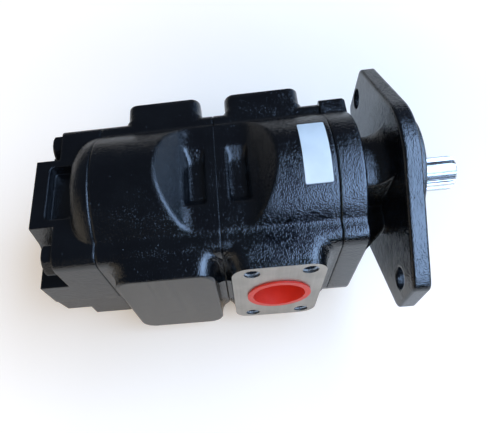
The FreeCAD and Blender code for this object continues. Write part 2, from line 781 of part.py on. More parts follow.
def mid_seal_rings(x0, x1, gap):
    """One ring round the coupling and one round the suction duct, in the middle joint."""
    rings = []
    for radius, y, z in ((shaft_joint_seal_radius, 0, 0), (duct_seal_radius, duct_y, mid_z)):
        outer = x_rod(x0, x1, radius + body_seal_width / 2 - gap, y, z)
        rings.append(outer.cut(x_rod(x0 - 1, x1 + 1, radius - body_seal_width / 2 + gap, y, z)))
    return rings


def block_seal_ring(x0, x1, gap):
    """Figure-of-eight seal in the back of a bearing block."""
    outer = twin_rods(x0, x1, block_seal_radius + block_seal_width / 2 - gap)
    inner = on_shafts(x0 - 1, x1 + 1, block_seal_radius - block_seal_width / 2 + gap)
    return outer.cut(inner)


def bearing_block(x0, x1, back):
    """Block that fills the cavity beside the gears; back is +1 if its seal side faces +X."""
    body = twin_rods(x0, x1, cavity_radius - block_fit)
    cuts = on_shafts(x0 - 1, x1 + 1, bush_bore_radius)
    if back > 0:
        cuts.append(block_seal_ring(x1 - seal_groove_depth, x1 + 1, 0))
        gear_side = (x0 - 1, x0 + relief_slot_depth)
    else:
        cuts.append(block_seal_ring(x0 - 1, x0 + seal_groove_depth, 0))
        gear_side = (x1 - relief_slot_depth, x1 + 1)
    waist = math.sqrt(cavity_radius ** 2 - mid_z ** 2)
    for side in (-1, 1):
        ends = sorted([side * waist / 3, side * (waist + relief_slot_width)])
        cuts.append(block(gear_side[0], gear_side[1], ends[0], ends[1], mid_z - relief_slot_width / 2,
                          mid_z + relief_slot_width / 2))
    return body.cut(cuts)


def thrust_plate(x0, x1):
    plate = twin_rods(x0, x1, cavity_radius - block_fit)
    return plate.cut(on_shafts(x0 - 1, x1 + 1, journal_radius + thrust_plate_bore_clearance))


def bushes(x0, x1):
    inner = on_shafts(x0 - 1, x1 + 1, journal_radius + journal_clearance)
    outer = on_shafts(x0, x1, bush_radius)
    return Part.makeCompound([outer[k].cut(inner[k]) for k in range(2)])


def involute(angle):
    return math.tan(angle) - angle


def toothed_outline(x, z, teeth, module, pressure_angle, tip, root, form, thinning, phase):
    """Face across X with involute flanks and full-round roots; each flank is one arc."""
    pressure = math.radians(pressure_angle)
    pitch = teeth * module / 2
    base = pitch * math.cos(pressure)
    half_pitch = math.pi / teeth

    def half_angle(radius):
        spread = involute(pressure) - involute(math.acos(base / radius))
        return half_pitch / 2 + spread - thinning / (2 * pitch)

    def at(radius, angle):
        return vec(x, radius * math.cos(angle), z + radius * math.sin(angle))

    edges = []
    for k in range(teeth):
        centre = math.radians(phase) + 2 * half_pitch * k
        up = [at(r, centre - half_angle(r)) for r in (form, (form + tip) / 2, tip)]
        down = [at(r, centre + half_angle(r)) for r in (tip, (form + tip) / 2, form)]
        following = at(form, centre + 2 * half_pitch - half_angle(form))
        edges.append(arc(up[0], up[1], up[2]))
        edges.append(arc(up[2], at(tip, centre), down[0]))
        edges.append(arc(down[0], down[1], down[2]))
        edges.append(arc(down[2], at(root, centre + half_pitch), following))
    return face(edges)


def pump_gear(x0, x1, z, phase):
    module = gear_centre_distance / gear_teeth
    outline = toothed_outline(x0, z, gear_teeth, module, gear_pressure_angle, gear_tip_radius,
                              gear_root_radius, gear_form_radius, gear_backlash, phase)
    return outline.extrude(vec(x1 - x0, 0, 0))


def spline(x0, x1, teeth, gap=0.0):
    """Splined length of a shaft, or with a gap the hole that takes it."""
    tip = spline_module * (teeth + 1) / 2 + gap
    root = spline_module * (teeth - 1.6) / 2 + gap
    form = spline_module * (teeth - 1.05) / 2 + gap
    outline = toothed_outline(x0, 0, teeth, spline_module, spline_pressure_angle, tip, root, form,
                              -2 * gap, 0)
    return outline.extrude(vec(x1 - x0, 0, 0))


def chamfered_end(x_tip, radius, chamfer, direction):
    """Envelope that bevels the end of a shaft at x_tip; direction points out of the end."""
    length = 4 * radius
    points = [
        (x_tip, 0),
        (x_tip, radius - chamfer),
        (x_tip - direction * chamfer, radius),
        (x_tip - direction * length, radius),
        (x_tip - direction * length, 0),
    ]
    return turned_profile(points)


def make_drive_shaft():
    x_spline = shaft_end - shaft_spline_length
    outer_spline = spline(x_spline, shaft_end, spline_teeth)
    tip = spline_module * (spline_teeth + 1) / 2
    outer_spline = outer_spline.common(chamfered_end(shaft_end, tip, shaft_chamfer, 1))
    x_shoulder = x_mid_joint + coupling_length / 2 + coupling_float
    x_tail = x_mid_joint + coupling_float
    land = x_rod(x_shoulder, x_spline, journal_radius)
    gear = pump_gear(x_front_plate + end_play, x_front_block - end_play, 0, 0)
    tail = spline(x_tail, x_shoulder, coupling_teeth)
    return fuse([outer_spline, land, gear, tail])


def make_rear_drive_gear():
    x_shoulder = x_mid_joint - coupling_length / 2 - coupling_float
    x_tail = x_mid_joint - coupling_float
    land = x_rod(x_rear_joint + coupling_float, x_shoulder, journal_radius)
    gear = pump_gear(x_rear_block + end_play, x_rear_plate - end_play, 0, 0)
    tail = spline(x_shoulder, x_tail, coupling_teeth)
    return fuse([land, gear, tail])


def make_coupling():
    sleeve = x_rod(x_mid_joint - coupling_length / 2, x_mid_joint + coupling_length / 2, coupling_radius)
    hole = spline(x_mid_joint - coupling_length, x_mid_joint + coupling_length, coupling_teeth,
                  coupling_spline_gap)
    return sleeve.cut(hole)


def make_idler(x_low, x_high, gear_low, gear_high):
    z = -gear_centre_distance
    half_pitch = 180.0 / gear_teeth
    land = x_rod(x_low, x_high, journal_radius, z=z)
    return fuse([land, pump_gear(gear_low, gear_high, z, half_pitch)])


def make_front_idler():
    return make_idler(x_front_web - front_web_bush_length + coupling_float, x_front_joint - coupling_float,
                      x_front_plate + end_play, x_front_block - end_play)


def make_rear_idler():
    return make_idler(x_rear_joint + coupling_float, x_rear_web + rear_web_bush_length - coupling_float,
                      x_rear_block + end_play, x_rear_plate - end_play)


def make_seal_case():
    """Steel case of the shaft seal, an L section pressed into the front cover."""
    x_front = pilot_height - seal_recess - ring_thickness - end_play
    x_back = x_front - seal_width
    return turned_profile([
        (x_back, seal_radius - bush_fit),
        (x_front, seal_radius - bush_fit),
        (x_front, journal_radius + 2 * seal_wall),
        (x_front - seal_wall, journal_radius + 2 * seal_wall),
        (x_front - seal_wall, seal_radius - seal_wall),
        (x_back, seal_radius - seal_wall),
    ])


def make_seal_lip():
    """Rubber body with its lip on the shaft."""
    x_front = pilot_height - seal_recess - ring_thickness - end_play - seal_wall
    x_back = x_front - seal_width + seal_wall
    lip = journal_radius + seal_lip_gap
    return turned_profile([
        (x_front, seal_radius - seal_wall),
        (x_front, lip + seal_wall),
        (x_back + seal_width / 4, lip),
        (x_back + seal_wall / 2, lip + seal_wall / 2),
        (x_back + seal_wall / 2, lip + 2 * seal_wall),
        (x_front - 2 * seal_wall, lip + 2 * seal_wall),
        (x_front - 2 * seal_wall, seal_radius - seal_wall),
    ])


def make_garter_spring():
    """Coil spring behind the lip, drawn as one ring of its outside diameter."""
    x_front = pilot_height - seal_recess - ring_thickness - end_play - 3 * seal_wall
    radius = journal_radius + seal_lip_gap + 2 * seal_wall + spring_wire_radius
    middle = vec(x_front - 2 * spring_wire_radius, 0, 0)
    return Part.makeTorus(radius, spring_wire_radius, middle, vec(1, 0, 0))


def make_retaining_ring():
    """Open ring that holds the shaft seal in."""
    x_front = pilot_height - seal_recess - end_play / 2
    x_back = x_front - ring_thickness
    ring = x_rod(x_back, x_front, seal_radius + ring_groove_depth - seal_side_gap)
    ring = ring.cut(x_rod(x_back - 1, x_front + 1, seal_radius - ring_inner_width))
    reach = 2 * seal_radius
    half = math.radians(ring_gap_angle / 2)
    corners = [vec(x_back - 1, 0, 0), vec(x_back - 1, -reach * math.sin(half), reach * math.cos(half)),
               vec(x_back - 1, reach * math.sin(half), reach * math.cos(half))]
    wedge = Part.Face(Part.makePolygon(corners + [corners[0]])).extrude(vec(ring_thickness + 2, 0, 0))
    return ring.cut(wedge)


def make_tie_bolts():
    """Four long hexagon bolts from the rear cover into the front cover."""
    bolts = []
    for y, z in tie_bolt_places:
        shank = x_rod(x_bolt_seat, x_front_joint + tie_thread_length, tie_bolt_radius, y, z)
        x_top = x_bolt_seat - bolt_head_height
        points = [vec(x_top, y + bolt_head_radius * math.cos(math.radians(60 * k)),
                      z + bolt_head_radius * math.sin(math.radians(60 * k))) for k in range(7)]
        head = Part.Face(Part.makePolygon(points)).extrude(vec(bolt_head_height, 0, 0))
        envelope = chamfered_end(x_top, bolt_head_radius, bolt_head_chamfer, -1)
        envelope.translate(vec(0, y, z))
        bolts.append(fuse([shank, head.common(envelope)]))
    return Part.makeCompound(bolts)


def make_dowels():
    pins = []
    for x in (x_front_joint, x_mid_joint, x_rear_joint):
        for y, z in dowel_places:
            pins.append(x_rod(x - dowel_length / 2, x + dowel_length / 2, dowel_radius, y, z))
    return Part.makeCompound(pins)


def port_plug(side, face_y, x, port_radius, depth):
    """Cup-shaped plug, open to the outside, with a rim that sits on the pad."""
    rim = port_radius + plug_rim_width
    seat = face_y + plug_seat_gap
    outer = port_radius - plug_fit
    profile = [
        (seat + plug_rim_thickness, rim),
        (seat, rim),
        (seat, outer),
        (face_y - depth, outer - plug_wall / 3),
        (face_y - depth, 0),
        (face_y - depth + plug_wall, 0),
        (face_y - depth + plug_wall, outer - 4 * plug_wall / 3),
        (seat + plug_rim_thickness, outer - plug_wall),
    ]
    corners = [vec(x + radius, side * y, mid_z) for y, radius in profile]
    wire = Part.makePolygon(corners + [corners[0]])
    return Part.Face(wire).revolve(vec(x, 0, mid_z), vec(0, 1, 0), 360)


def make_parts():
    front_seal = body_seal_ring(x_front_joint - seal_groove_depth, x_front_joint, seal_side_gap)
    rear_seal = body_seal_ring(x_rear_joint, x_rear_joint + seal_groove_depth, seal_side_gap)
    mid_seals = mid_seal_rings(x_mid_joint, x_mid_joint + seal_groove_depth, seal_side_gap)
    return {
        "front_cover": make_front_cover(),
        "front_gear_housing": make_front_housing(),
        "rear_gear_housing": make_rear_housing(),
        "rear_cover": make_rear_cover(),
        "tie_bolts": make_tie_bolts(),
        "dowel_pins": make_dowels(),
        "drive_gear_shaft": make_drive_shaft(),
        "front_idler_gear": make_front_idler(),
        "coupling_sleeve": make_coupling(),
        "rear_drive_gear": make_rear_drive_gear(),
        "rear_idler_gear": make_rear_idler(),
        "front_bearing_block": bearing_block(x_front_block, x_front_joint, 1),
        "rear_bearing_block": bearing_block(x_rear_joint, x_rear_block, -1),
        "front_thrust_plate": thrust_plate(x_front_web, x_front_plate),
        "rear_thrust_plate": thrust_plate(x_rear_plate, x_rear_web),
        "front_block_bushes": bushes(x_front_block, x_front_joint),
        "front_web_bushes": bushes(x_front_web - front_web_bush_length, x_front_web),
        "rear_web_bushes": bushes(x_rear_web, x_rear_web + rear_web_bush_length),
        "rear_block_bushes": bushes(x_rear_joint, x_rear_block),
        "front_block_seal": block_seal_ring(x_front_joint - seal_groove_depth, x_front_joint, seal_side_gap),
        "rear_block_seal": block_seal_ring(x_rear_joint, x_rear_joint + seal_groove_depth, seal_side_gap),
        "front_body_seal": front_seal,
        "mid_joint_seals": Part.makeCompound(mid_seals),
        "rear_body_seal": rear_seal,
        "shaft_seal_case": make_seal_case(),
        "shaft_seal_lip": make_seal_lip(),
        "garter_spring": make_garter_spring(),
        "seal_retaining_ring": make_retaining_ring(),
        "suction_port_plug": port_plug(-1, suction_face, suction_x, suction_port_radius, suction_plug_depth),
        "front_outlet_plug": port_plug(1, outlet_face, front_outlet_x, outlet_port_radius,
                                       outlet_plug_depth),
        "rear_outlet_plug": port_plug(1, outlet_face, rear_outlet_x, outlet_port_radius, outlet_plug_depth),
    }


os.makedirs("parts", exist_ok=True)
for name, shape in make_parts().items():
    shape.exportStep("parts/" + name + ".step")
    print(name, "solids", len(shape.Solids), "valid", shape.isValid(), "volume", round(shape.Volume, 1))
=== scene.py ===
import math
from collections import namedtuple

import bmesh
import bpy
from mathutils import Matrix, Vector


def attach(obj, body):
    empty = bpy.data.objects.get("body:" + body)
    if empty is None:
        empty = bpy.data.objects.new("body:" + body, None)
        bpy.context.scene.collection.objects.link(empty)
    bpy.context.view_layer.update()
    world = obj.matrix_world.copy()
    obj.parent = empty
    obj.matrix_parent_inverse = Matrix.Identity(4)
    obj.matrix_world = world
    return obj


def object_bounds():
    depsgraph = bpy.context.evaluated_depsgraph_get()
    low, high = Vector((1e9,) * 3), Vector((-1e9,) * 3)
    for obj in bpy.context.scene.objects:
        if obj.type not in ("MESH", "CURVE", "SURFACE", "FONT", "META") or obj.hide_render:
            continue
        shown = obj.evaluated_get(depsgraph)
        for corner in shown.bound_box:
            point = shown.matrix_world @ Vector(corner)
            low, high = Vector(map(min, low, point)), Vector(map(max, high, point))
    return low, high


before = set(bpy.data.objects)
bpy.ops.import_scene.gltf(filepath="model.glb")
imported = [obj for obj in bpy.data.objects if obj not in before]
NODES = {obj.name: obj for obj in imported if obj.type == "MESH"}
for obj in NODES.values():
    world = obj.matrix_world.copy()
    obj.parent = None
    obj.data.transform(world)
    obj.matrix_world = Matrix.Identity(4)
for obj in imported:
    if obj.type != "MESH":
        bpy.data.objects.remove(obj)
CAD_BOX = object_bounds()

# Camera of the photograph, in the frame of the pump
CAMERA_PLACE = (-0.107317, -0.174776, 0.254560)
CAMERA_RIGHT = (0.99425, -0.05418, -0.09241)
CAMERA_UP = (0.08586, 0.91891, 0.38501)
CAMERA_BACK = (0.06405, -0.39073, 0.91828)
CAMERA_LENS = 32.007
CAMERA_SENSOR = 36.0
CAMERA_SHIFT = (0.0640, 0.1383)
CAMERA_CLIP = (0.005, 50.0)

# Blank plate where the photograph shows a label, on the drum of the front housing
LABEL_X = (-0.0646, -0.0482)
LABEL_Y = (-0.0237, 0.0218)
LABEL_THICKNESS = 0.00022
LABEL_CORNER = 0.0011
LABEL_CORNER_STEPS = 4
LABEL_ROWS = 32
LABEL_GAP = 0.00004
DRUM_RADIUS = 0.056
DRUM_CENTRE_Z = -0.015

# Ports: their X, the spacings of their bolts, and the radius of the bore and of the bolt holes
Port = namedtuple("Port", "x step_x step_z radius bolt_radius")
SUCTION = Port(-0.0827, 0.0357, 0.06985, 0.01905, 0.0051)
FRONT_OUTLET = Port(-0.0827, 0.0262, 0.0524, 0.0127, 0.00425)
REAR_OUTLET = Port(-0.1518, 0.0262, 0.0524, 0.0127, 0.00425)
PORT_Z = -0.024
SUCTION_FACE = -0.067
OUTLET_FACE = 0.068
FACE_MARGIN = 0.0003
HOLE_DEPTH = 0.03

# Threads of the bolt holes, M12 and M10
Thread = namedtuple("Thread", "depth pitch")
SUCTION_THREAD = Thread(0.0115, 0.00175)
OUTLET_THREAD = Thread(0.0105, 0.0015)
THREAD_STEPS = 28
THREAD_SUNK = 0.00002

# Section of a thread's ridge, in pitches: its height, and half its width at the root and the crest
RIDGE_HEIGHT = 0.6
RIDGE_ROOT = 0.46
RIDGE_CREST = 0.07

# Recesses beside the middle joint, where the paint rounds the edges more than elsewhere
MID_JOINT_X = -0.1174
SCOOP_REACH = 0.043
SCOOP_REACH_FADE = 0.006
SCOOP_LOW = 0.018
SCOOP_LOW_FADE = 0.004
PAINT_EDGE = 0.0021
SCOOP_EDGE = 0.0045

# Close to the middle joint the rounding falls to a share, so that the joint stays a fine line
JOINT_SHARP = (0.004, 0.009)
JOINT_SHARE = 0.22

PAINT_IOR = 1.75

# Stretches of the object's coordinates that draw noise out into marks along Z or along X
ALONG_Z = (1.0, 1.0, 0.03)
LONG_Z = (1.0, 1.0, 0.05)
LONG_X = (0.05, 1.0, 1.0)

# Distances over which the paper's glow grows from a painted shade round the pump to white, and over
# which it falls off again in a painted darkening far out
PAPER_SHADE_TO_WHITE = (0.18, 0.55)
PAPER_PAINTED_FALLOFF = (1.0, 4.0)
FLOOR_REACH = 15.0
FLOOR_GAP = 0.0005

# Sky: share of its height over which the pale horizon fades, and its colours
HORIZON_HEIGHT = 0.28
HORIZON_COLOUR = (0.15, 0.16, 0.18, 1.0)
ROOM_COLOUR = (0.046, 0.053, 0.068, 1.0)

PUMP_MIDDLE = (-0.1, 0.0, 0.0)


class Graph:
    """A material under construction: makes nodes, sets their sockets and links them."""

    def __init__(self, name):
        self.material = bpy.data.materials.new(name)
        self.material.use_nodes = True
        self.tree = self.material.node_tree
        self.tree.nodes.clear()
        self.output = self.tree.nodes.new("ShaderNodeOutputMaterial")
        self.coords = self.tree.nodes.new("ShaderNodeTexCoord").outputs["Object"]

    def node(self, kind, settings=None, **sockets):
        """New node of a kind, with its settings, and its sockets fed by name."""
        made = self.tree.nodes.new("ShaderNode" + kind)
        for key, value in (settings or {}).items():
            setattr(made, key, value)
        for key, value in sockets.items():
            self.feed(made.inputs[key.replace("_", " ")], value)
        return made

    def feed(self, socket, value):
        """Links another node's output to a socket, or sets the socket to a constant."""
        if isinstance(value, bpy.types.NodeSocket):
            self.tree.links.new(value, socket)
        else:
            socket.default_value = value

    def mapped(self, scale):
        """Object coordinates, scaled along each axis."""
        made = self.node("Mapping", None, Vector=self.coords)
        made.inputs["Scale"].default_value = scale
        return made.outputs["Vector"]

    def noise(self, scale, detail=2.0, roughness=0.5, vector=None):
        made = self.node("TexNoise", None, Vector=vector or self.coords, Scale=scale,
                         Detail=detail, Roughness=roughness)
        return made.outputs["Fac"]

    def cells(self, scale):
        """Distance to the nearest of many scattered points."""
        made = self.node("TexVoronoi", {"feature": "F1"}, Vector=self.coords, Scale=scale)
        return made.outputs["Distance"]

    def math(self, operation, a, b=0.0, clamp=False):
        made = self.tree.nodes.new("ShaderNodeMath")
        made.operation = operation
        made.use_clamp = clamp
        self.feed(made.inputs[0], a)
        self.feed(made.inputs[1], b)
        return made.outputs[0]

    def ramp(self, value, low, high, to_low=0.0, to_high=1.0):
        """Smooth step from one value to another while the input goes from low to high."""
        made = self.node("MapRange", {"interpolation_type": "SMOOTHSTEP"}, Value=value)
        made.inputs["From Min"].default_value = low
        made.inputs["From Max"].default_value = high
        made.inputs["To Min"].default_value = to_low
        made.inputs["To Max"].default_value = to_high
        return made.outputs["Result"]

    def mix(self, factor, a, b):
        """Blend of two colours."""
        made = self.tree.nodes.new("ShaderNodeMix")
        made.data_type = "RGBA"
        self.feed(made.inputs[0], factor)
        self.feed(made.inputs[6], a)
        self.feed(made.inputs[7], b)
        return made.outputs[2]

    def axis(self, index):
        """One of the object's coordinates: 0 for X, 1 for Y, 2 for Z."""
        return self.node("SeparateXYZ", None, Vector=self.coords).outputs[index]

    def bump(self, height, distance, strength=1.0, normal=None):
        made = self.node("Bump", None, Height=height, Distance=distance, Strength=strength)
        if normal is not None:
            self.feed(made.inputs["Normal"], normal)
        return made.outputs["Normal"]

    def surface(self, **sockets):
        """Principled shader, joined to the output."""
        shader = self.node("BsdfPrincipled", None, **sockets)
        self.tree.links.new(shader.outputs["BSDF"], self.output.inputs["Surface"])
        return shader


def rgb(red, green, blue):
    return (red, green, blue, 1.0)


def edge_radius_by_place(g):
    """Radius of the paint's rounding: wide in the recesses, narrow along the middle joint."""
    from_joint = g.math("ABSOLUTE", g.math("SUBTRACT", g.axis(0), MID_JOINT_X))
    near = g.ramp(from_joint, SCOOP_REACH - SCOOP_REACH_FADE, SCOOP_REACH, 1.0, 0.0)
    above = g.ramp(g.axis(2), SCOOP_LOW - SCOOP_LOW_FADE, SCOOP_LOW)
    radius = g.ramp(g.math("MULTIPLY", near, above), 0.0, 1.0, PAINT_EDGE, SCOOP_EDGE)
    sharpened = g.ramp(from_joint, JOINT_SHARP[0], JOINT_SHARP[1], JOINT_SHARE, 1.0)
    return g.math("MULTIPLY", radius, sharpened)


def black_enamel(name, grain=1.0, roughness=0.12, worn_scoops=False, streaks_and_warm_reflection=False):
    """Gloss black enamel over iron: finely pebbled, with a few nibs of dust in the paint; its
    reflections carry a painted tint, slightly cool, or warm on the variant with paler streaks along
    Z.
    """
    g = Graph(name)
    radius = edge_radius_by_place(g) if worn_scoops else PAINT_EDGE
    rounded = g.node("Bevel", {"samples": 8}, Radius=radius).outputs["Normal"]

    pebbles = g.noise(1500.0, 0.0)
    waves = g.noise(700.0, 0.0)
    patch = g.ramp(g.noise(90.0, 2.0, 0.5), 0.3, 0.7, 0.6, 1.0)
    relief = g.math("ADD", g.math("MULTIPLY", pebbles, patch), g.math("MULTIPLY", waves, 0.5))
    nibs = g.ramp(g.cells(120.0), 0.0, 0.07, 1.0, 0.0)
    pebbled = g.bump(relief, 0.00024 * grain, 1.0, rounded)
    dusty = g.bump(nibs, 0.00040 * grain, 0.8, pebbled)

    tone = g.ramp(g.noise(42.0, 3.0, 0.6), 0.35, 0.7)
    colour = g.mix(tone, rgb(0.0018, 0.0023, 0.0034), rgb(0.0032, 0.0040, 0.0052))
    # Painted reflection: a slight cool tint on the highlights; the blank pad's variant gets paler
    # warm streaks along Z and a warm tint, a painted warm reflection of the floor
    painted_reflection_tint = rgb(0.95, 0.98, 1.0)
    if streaks_and_warm_reflection:
        marks = g.noise(420.0, 3.0, 0.6, g.mapped(ALONG_Z))
        colour = g.mix(g.ramp(marks, 0.35, 0.65), colour, rgb(0.020, 0.018, 0.014))
        painted_reflection_tint = rgb(1.0, 0.95, 0.86)
    rough = g.ramp(g.noise(210.0, 3.0, 0.6), 0.3, 0.75, roughness, roughness + 0.08)
    shader = g.surface(Base_Color=colour, Roughness=rough, Normal=dusty)
    shader.inputs["IOR"].default_value = PAINT_IOR
    shader.inputs["Specular Tint"].default_value = painted_reflection_tint
    return g.material


def machined_iron(name):
    """Bare milled cast iron: warm grey, with faint straight cutter marks."""
    g = Graph(name)
    marks = g.noise(420.0, 3.0, 0.6, g.mapped(ALONG_Z))
    broad = g.noise(55.0, 3.0, 0.55)
    pits = g.ramp(g.cells(900.0), 0.0, 0.09, 1.0, 0.0)
    colour = g.mix(g.ramp(broad, 0.3, 0.7), rgb(0.39, 0.367, 0.33), rgb(0.465, 0.437, 0.395))
    colour = g.mix(g.math("MULTIPLY", pits, 0.35), colour, rgb(0.12, 0.11, 0.1))
    g.surface(Base_Color=colour, Metallic=1.0, Roughness=g.ramp(marks, 0.3, 0.7, 0.36, 0.5),
              Normal=g.bump(marks, 0.00006, 0.4))
    return g.material


def threaded_steel(name):
    """Cut thread, oiled: bright crests on a darker blue-grey."""
    g = Graph(name)
    marks = g.noise(700.0, 3.0, 0.6)
    colour = g.mix(g.ramp(marks, 0.3, 0.7), rgb(0.20, 0.25, 0.32), rgb(0.42, 0.50, 0.60))
    g.surface(Base_Color=colour, Metallic=1.0, Roughness=g.ramp(marks, 0.3, 0.7, 0.22, 0.34),
              Normal=g.bump(marks, 0.00004, 0.4))
    return g.material


def bright_metal(name, base=(0.74, 0.745, 0.75), rough=0.2, stretch=LONG_X):
    """Bright metal with fine marks along one direction, a little stained."""
    g = Graph(name)
    marks = g.noise(900.0, 3.0, 0.6, g.mapped(stretch))
    stains = g.noise(120.0, 3.0, 0.6)
    dark = tuple(0.82 * c for c in base)
    colour = g.mix(g.ramp(stains, 0.35, 0.7), rgb(*dark), rgb(*base))
    g.surface(Base_Color=colour, Metallic=1.0,
              Roughness=g.ramp(marks, 0.3, 0.7, rough, rough + 0.12),
              Normal=g.bump(marks, 0.00004, 0.35))
    return g.material


def red_plastic(name):
    """Soft moulded plastic of the port plugs."""
    g = Graph(name)
    cloud = g.noise(60.0, 3.0, 0.5)
    skin = g.noise(1600.0, 2.0, 0.5)
    colour = g.mix(g.ramp(cloud, 0.3, 0.7), rgb(0.60, 0.032, 0.018), rgb(0.70, 0.047, 0.027))
    g.surface(Base_Color=colour, Roughness=g.ramp(cloud, 0.3, 0.7, 0.36, 0.46),
              Normal=g.bump(skin, 0.00004, 0.4), Subsurface_Weight=0.12,
              Subsurface_Scale=0.0015)
    return g.material


def plain_rubber(name):
    """Matt black rubber of the seals."""
    g = Graph(name)
    skin = g.noise(1400.0, 3.0, 0.6)
    tone = g.ramp(g.noise(90.0), 0.3, 0.7)
    colour = g.mix(tone, rgb(0.012, 0.012, 0.012), rgb(0.025, 0.025, 0.024))
    g.surface(Base_Color=colour, Roughness=g.ramp(skin, 0.3, 0.7, 0.5, 0.65),
              Normal=g.bump(skin, 0.00005, 0.5))
    return g.material


def blank_label(name):
    """Satin white film with no print on it."""
    g = Graph(name)
    cloud = g.noise(70.0, 3.0, 0.5)
    ripple = g.noise(230.0, 2.0, 0.5)
    colour = g.mix(g.ramp(cloud, 0.3, 0.7), rgb(0.60, 0.66, 0.66), rgb(0.66, 0.72, 0.72))
    g.surface(Base_Color=colour, Roughness=g.ramp(cloud, 0.3, 0.7, 0.3, 0.4),
              Normal=g.bump(ripple, 0.00008, 0.3))
    return g.material


def floor_paper(name):
    """Pale warm paper that glows white where it is seen directly, with painted shade: the glow is
    weaker near the pump and falls off far out. In reflections it glows a little, in a painted warm
    orange.
    """
    g = Graph(name)
    path = g.node("LightPath").outputs
    direct = path["Is Camera Ray"]
    mirrored = g.math("ADD", path["Is Glossy Ray"], path["Is Transmission Ray"], True)
    away = g.node("VectorMath", {"operation": "LENGTH"}, Vector=g.coords).outputs["Value"]
    # The direct glow is weaker near the pump and falls off far away: a painted shade round the pump
    # and a painted darkening in the distance
    glow_past_painted_shade = g.ramp(away, PAPER_SHADE_TO_WHITE[0], PAPER_SHADE_TO_WHITE[1], 0.24, 0.60)
    painted_falloff = g.ramp(away, PAPER_PAINTED_FALLOFF[0], PAPER_PAINTED_FALLOFF[1], 1.0, 0.3)
    direct_glow = g.math("MULTIPLY", glow_past_painted_shade, painted_falloff)
    seen = g.math("ADD", g.math("MULTIPLY", direct, direct_glow), g.math("MULTIPLY", mirrored, 0.08))
    # Reflections see the paper glowing a warm orange, unlike the white seen directly: a painted warm
    # reflection on the enamel's sides
    glow_with_painted_warm_reflection = g.mix(direct, rgb(1.0, 0.80, 0.52), rgb(1.0, 0.965, 0.94))
    tone = g.ramp(g.noise(3.0), 0.3, 0.7)
    colour = g.mix(tone, rgb(0.84, 0.75, 0.625), rgb(0.86, 0.77, 0.645))
    g.surface(Base_Color=colour, Roughness=g.ramp(g.noise(40.0), 0.3, 0.7, 0.75, 0.85),
              Emission_Color=glow_with_painted_warm_reflection, Emission_Strength=seen)
    return g.material


def dress(node, *materials):
    """Gives a CAD node its materials; more than one means that faces choose by index."""
    mesh = NODES[node].data
    mesh.materials.clear()
    for material in materials:
        mesh.materials.append(material)
    for polygon in mesh.polygons:
        polygon.material_index = 0


def set_faces(node, index, passes):
    """Gives a material's index to the faces whose centre and normal pass the test."""
    for polygon in NODES[node].data.polygons:
        if passes(polygon.center, polygon.normal):
            polygon.material_index = index


def new_piece(name, bm, material):
    """Makes a piece of the castings from a finished bmesh, with its normals outwards."""
    bmesh.ops.recalc_face_normals(bm, faces=bm.faces[:])
    mesh = bpy.data.meshes.new(name)
    bm.to_mesh(mesh)
    bm.free()
    mesh.materials.append(material)
    piece = bpy.data.objects.new(name, mesh)
    bpy.context.scene.collection.objects.link(piece)
    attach(piece, "root")


def label_outline():
    """Points of the flat label's outline, with rounded corners."""
    width = LABEL_X[1] - LABEL_X[0]
    height = LABEL_Y[1] - LABEL_Y[0]
    outline = []
    for corner_x, corner_y, start in ((1, 1, 0), (0, 1, 90), (0, 0, 180), (1, 0, 270)):
        centre_x = LABEL_X[0] + LABEL_CORNER + corner_x * (width - 2 * LABEL_CORNER)
        centre_y = LABEL_Y[0] + LABEL_CORNER + corner_y * (height - 2 * LABEL_CORNER)
        for step in range(LABEL_CORNER_STEPS + 1):
            angle = math.radians(start + 90 / LABEL_CORNER_STEPS * step)
            outline.append((centre_x + LABEL_CORNER * math.cos(angle),
                            centre_y + LABEL_CORNER * math.sin(angle)))
    return outline


def label_plate(material):
    """Thin film, cut into rows across the drum and bent over it."""
    bm = bmesh.new()
    bm.faces.new([bm.verts.new((x, y, 0)) for x, y in label_outline()])
    for row in range(1, LABEL_ROWS):
        y = LABEL_Y[0] + (LABEL_Y[1] - LABEL_Y[0]) * row / LABEL_ROWS
        bmesh.ops.bisect_plane(bm, geom=bm.faces[:] + bm.edges[:] + bm.verts[:],
                               plane_co=(0, y, 0), plane_no=(0, 1, 0))
    bmesh.ops.solidify(bm, geom=bm.faces[:], thickness=LABEL_THICKNESS)
    low = min(vert.co.z for vert in bm.verts)
    for vert in bm.verts:
        angle = vert.co.y / DRUM_RADIUS
        radius = DRUM_RADIUS + (vert.co.z - low) + LABEL_GAP
        vert.co.y = radius * math.sin(angle)
        vert.co.z = DRUM_CENTRE_Z + radius * math.cos(angle)
    new_piece("label_plate", bm, material)


def bolt_places(port):
    """X and Z of the four bolt holes round a port."""
    return [(port.x + side_x * port.step_x / 2, PORT_Z + side_z * port.step_z / 2)
            for side_x in (-1, 1) for side_z in (-1, 1)]


def screw_ridge(bm, centre_x, centre_z, y_open, inward, radius, thread):
    """Adds one internal thread: a ridge wound round the wall of a hole along Y."""
    crest = radius - RIDGE_HEIGHT * thread.pitch
    root = radius - THREAD_SUNK
    section = ((root, -RIDGE_ROOT), (crest, -RIDGE_CREST), (crest, RIDGE_CREST), (root, RIDGE_ROOT))
    rows = []
    for step in range(int(thread.depth / thread.pitch * THREAD_STEPS) + 1):
        angle = 2 * math.pi * step / THREAD_STEPS
        along = thread.pitch * (0.5 + step / THREAD_STEPS)
        row = []
        for r, offset in section:
            y = y_open + inward * (along + offset * thread.pitch)
            x = centre_x + r * math.cos(angle)
            z = centre_z + r * math.sin(angle)
            row.append(bm.verts.new((x, y, z)))
        rows.append(row)
    corners = len(section)
    for a, b in zip(rows, rows[1:]):
        for j in range(corners):
            after = (j + 1) % corners
            bm.faces.new((a[j], a[after], b[after], b[j]))
    bm.faces.new(rows[0])
    bm.faces.new(reversed(rows[-1]))


